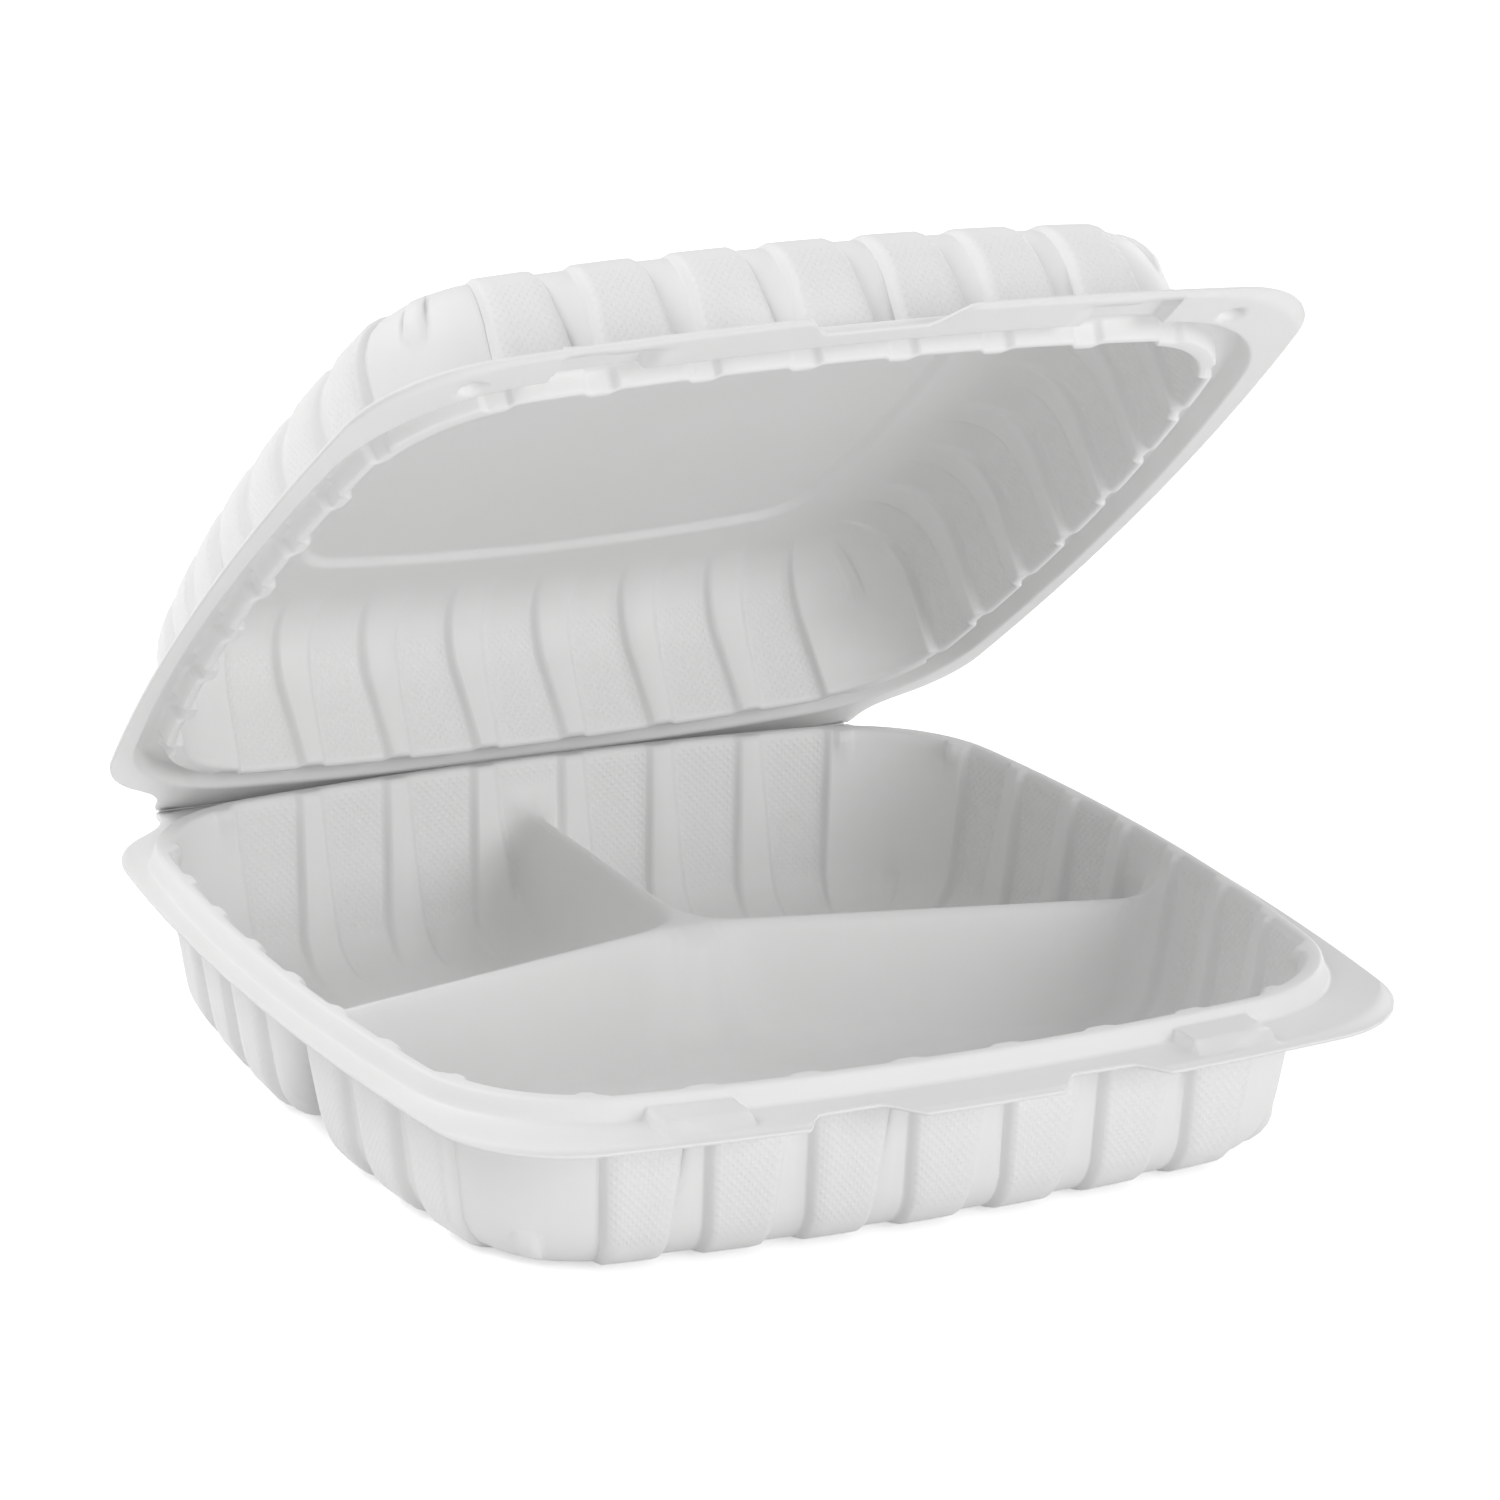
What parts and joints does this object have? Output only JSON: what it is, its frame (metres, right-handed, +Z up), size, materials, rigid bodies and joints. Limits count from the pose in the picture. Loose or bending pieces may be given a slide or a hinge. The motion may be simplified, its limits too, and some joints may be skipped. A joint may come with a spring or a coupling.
{
  "type": "clamshell container",
  "caption": "Square hinged take-out container of ribbed white plastic with a divided tray, stepped nesting rim, front latches and a domed lid standing part open.",
  "frame": {"origin": "middle of the tray's floor, on the surface it stands on", "axes": "+Z up, +Y from the latches towards the hinge, +X along the fold line"},
  "size_m": [0.228, 0.2427, 0.1933],
  "materials": {
    "tray_plastic": "satin mineral-filled polypropylene, fine basket texture on the ribs",
    "lid_plastic": "satin mineral-filled polypropylene, fine basket texture on the ribs"
  },
  "bodies": {
    "tray": {"tray": "tray_plastic"},
    "lid": {"lid": "lid_plastic"}
  },
  "joints": [
    {"name": "lid_hinge", "type": "hinge", "parent": "tray", "child": "lid", "pos_m": [0, 0.1145, 0.03765], "axis": [-1, 0, 0], "range_deg": [-38.8, 141.2]}
  ]
}
